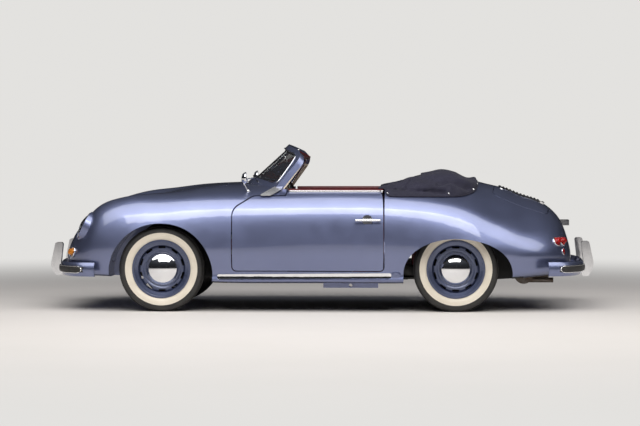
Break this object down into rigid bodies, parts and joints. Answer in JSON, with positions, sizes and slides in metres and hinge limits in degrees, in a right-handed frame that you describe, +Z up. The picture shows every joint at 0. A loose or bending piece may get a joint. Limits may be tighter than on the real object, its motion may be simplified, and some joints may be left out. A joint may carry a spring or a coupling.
{
  "type": "small 1950s convertible car",
  "caption": "Small rear-engined 1950s convertible car with its top folded, opening doors and lids, steered front wheels and a hollow cabin.",
  "frame": {"origin": "on the ground under the middle of the car's length and width", "axes": "+X towards the nose, +Y to the car's left side, +Z up"},
  "size_m": [3.9412, 1.6988, 1.1952],
  "materials": {
    "body_paint": "metallic steel blue car paint",
    "wheel_paint": "steel blue enamel",
    "underbody": "matt black underseal",
    "chrome": "polished chrome plate",
    "tyre": "black rubber with a cream side wall",
    "rubber": "black rubber strip",
    "glass": "clear laminated glass",
    "lamp_glass": "clear moulded lamp glass",
    "amber_lamp": "amber moulded lamp glass",
    "red_lamp": "red moulded lamp glass",
    "leather": "red leather",
    "canvas": "navy canvas",
    "cast": "cast and sheet metal",
    "steel": "bare and rusted steel",
    "bakelite": "black moulded rim"
  },
  "bodies": {
    "car": {"bumper_guards": "chrome", "bumper_strips": "rubber", "dashboard": "body_paint", "door_hinges": "steel", "driver_controls": "steel", "drivetrain": "cast", "exhaust": "steel", "floor_pan": "underbody", "front_axle": "steel", "front_body": "body_paint", "front_bumper": "body_paint", "headlamp_lenses": "lamp_glass", "headlamps": "chrome", "inside_mirror": "chrome", "left_seat": "leather", "pillar_feet": "chrome", "plate_lamp": "chrome", "rear_body": "body_paint", "rear_bumper": "body_paint", "rear_seat": "leather", "right_seat": "leather", "seat_rails": "steel", "side_mirrors": "chrome", "sill_trims": "chrome", "sills": "body_paint", "steering_column": "underbody", "tail_lamps": "red_lamp", "top_cover": "canvas", "turn_lamps": "amber_lamp", "windscreen_frame": "body_paint", "windscreen_glass": "glass", "wipers": "chrome"},
    "left_door": {"left_door": "body_paint", "left_door_card": "leather", "left_door_handle": "chrome"},
    "right_door": {"right_door": "body_paint", "right_door_card": "leather", "right_door_handle": "chrome"},
    "front_lid": {"front_lid": "body_paint", "front_lid_handle": "chrome"},
    "engine_lid": {"engine_lid": "body_paint", "engine_lid_grille": "chrome"},
    "steering_wheel": {"steering_wheel": "bakelite"},
    "left_knuckle": {"left_knuckle": "steel"},
    "right_knuckle": {"right_knuckle": "steel"},
    "front_left_wheel": {"front_left_tyre": "tyre", "front_left_wheel": "wheel_paint", "front_left_hub_cap": "chrome"},
    "front_right_wheel": {"front_right_tyre": "tyre", "front_right_wheel": "wheel_paint", "front_right_hub_cap": "chrome"},
    "rear_left_wheel": {"rear_left_tyre": "tyre", "rear_left_wheel": "wheel_paint", "rear_left_hub_cap": "chrome"},
    "rear_right_wheel": {"rear_right_tyre": "tyre", "rear_right_wheel": "wheel_paint", "rear_right_hub_cap": "chrome"}
  },
  "joints": [
    {"name": "left_door_swing", "type": "hinge", "parent": "car", "child": "left_door", "pos_m": [0.546, 0.79405, 0.52], "axis": [0, 0, -1], "range_deg": [0, 60]},
    {"name": "right_door_swing", "type": "hinge", "parent": "car", "child": "right_door", "pos_m": [0.546, -0.79405, 0.52], "axis": [0, 0, 1], "range_deg": [0, 60]},
    {"name": "front_lid_lift", "type": "hinge", "parent": "car", "child": "front_lid", "pos_m": [0.688, 0, 0.9125], "axis": [0, -1, 0], "range_deg": [0, 55]},
    {"name": "engine_lid_lift", "type": "hinge", "parent": "car", "child": "engine_lid", "pos_m": [-1.266, 0, 0.89197], "axis": [0, 1, 0], "range_deg": [0, 60]},
    {"name": "left_steer", "type": "hinge", "parent": "car", "child": "left_knuckle", "pos_m": [1.128, 0.545, 0.304], "axis": [0, 0, 1], "range_deg": [-27, 27]},
    {"name": "right_steer", "type": "hinge", "parent": "car", "child": "right_knuckle", "pos_m": [1.128, -0.545, 0.304], "axis": [0, 0, 1], "range_deg": [-27, 27]},
    {"name": "steering_wheel_turn", "type": "hinge", "parent": "car", "child": "steering_wheel", "pos_m": [0.158, 0.34, 0.77], "axis": [-0.8829, 0, 0.4695], "range_deg": [-432, 432]},
    {"name": "front_left_roll", "type": "hinge", "parent": "left_knuckle", "child": "front_left_wheel", "pos_m": [1.128, 0.653, 0.304], "axis": [0, 1, 0], "continuous": true},
    {"name": "front_right_roll", "type": "hinge", "parent": "right_knuckle", "child": "front_right_wheel", "pos_m": [1.128, -0.653, 0.304], "axis": [0, 1, 0], "continuous": true},
    {"name": "rear_left_roll", "type": "hinge", "parent": "car", "child": "rear_left_wheel", "pos_m": [-0.972, 0.636, 0.304], "axis": [0, 1, 0], "continuous": true},
    {"name": "rear_right_roll", "type": "hinge", "parent": "car", "child": "rear_right_wheel", "pos_m": [-0.972, -0.636, 0.304], "axis": [0, 1, 0], "continuous": true}
  ],
  "couplings": [
    {"joint": "right_steer", "follows": "left_steer", "ratio": 1},
    {"joint": "steering_wheel_turn", "follows": "left_steer", "ratio": 16}
  ]
}
